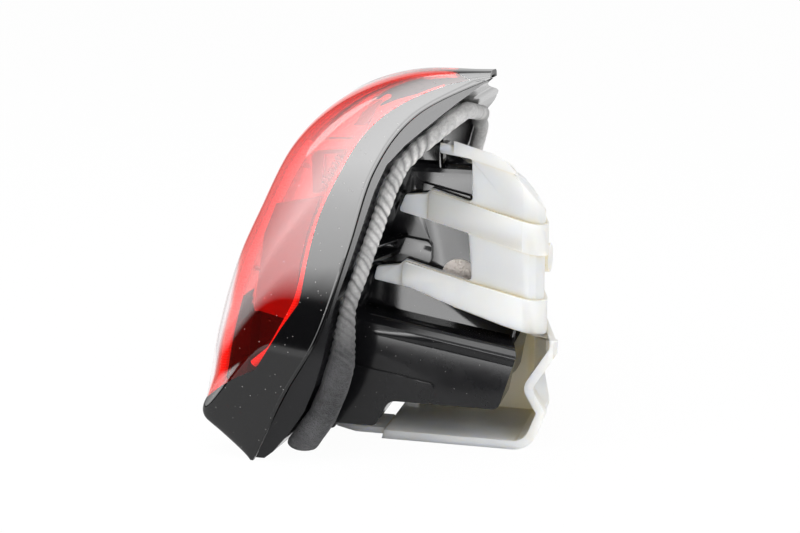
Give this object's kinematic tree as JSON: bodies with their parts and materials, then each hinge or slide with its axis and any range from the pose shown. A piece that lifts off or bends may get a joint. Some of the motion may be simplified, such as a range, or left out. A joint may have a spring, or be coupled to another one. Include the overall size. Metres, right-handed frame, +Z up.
{
  "type": "tail light cluster",
  "caption": "Wedge-shaped car tail light with a red and black lens, a black moulded back shell with a foam gasket, and a milky rear cap sprung over its electronics body.",
  "frame": {"origin": "middle of the bounding box at its bottom, in the plane that the lens chin and the rim of the rear cap stand on", "axes": "+Z up as installed, -X towards the rear of the car out of the lens face, -Y outboard out of the flank of the lens, +X into the car body"},
  "size_m": [0.2091, 0.2022, 0.2435],
  "materials": {
    "lens_window": "moulded clear red, polished",
    "lens_surround": "moulded black, polished",
    "housing": "moulded black, semi-gloss",
    "foam_gasket": "open foam cord, matt",
    "rear_cap": "moulded natural plastic, milky and slightly translucent",
    "vent_felt": "matt felt disc",
    "inner_bezel": "moulded dark grey, fine grain",
    "inner_panel": "moulded, smooth",
    "light_guide": "moulded clear, polished",
    "guide_clips": "moulded black",
    "circuit_board": "solder mask, satin",
    "led": "package with phosphor face",
    "reflector_bank": "vacuum metallised",
    "reflector_lens": "moulded clear, ribbed",
    "heat_sink": "extruded, satin",
    "board_screws": "zinc plated",
    "driver_parts": "moulded packages",
    "jumper_lead": "insulation, satin",
    "connector_header": "moulded dark grey",
    "connector_pins": "tinned",
    "threaded_inserts": "turned"
  },
  "bodies": {
    "root": {"lens_window": "lens_window", "lens_surround": "lens_surround", "housing": "housing", "foam_gasket": "foam_gasket", "rear_cap": "rear_cap", "vent_felt": "vent_felt", "inner_bezel": "inner_bezel", "inner_panel": "inner_panel", "edge_light_guide": "light_guide", "corner_light_guide": "light_guide", "inboard_light_guide": "light_guide", "guide_clips": "guide_clips", "flank_board": "circuit_board", "flank_leds": "led", "rear_board": "circuit_board", "rear_leds": "led", "reflector_bank": "reflector_bank", "reflector_lens": "reflector_lens", "heat_sink": "heat_sink", "board_screws": "board_screws", "driver_board": "circuit_board", "driver_parts": "driver_parts", "jumper_lead": "jumper_lead", "connector_header": "connector_header", "connector_pins": "connector_pins", "threaded_inserts": "threaded_inserts"}
  },
  "joints": []
}
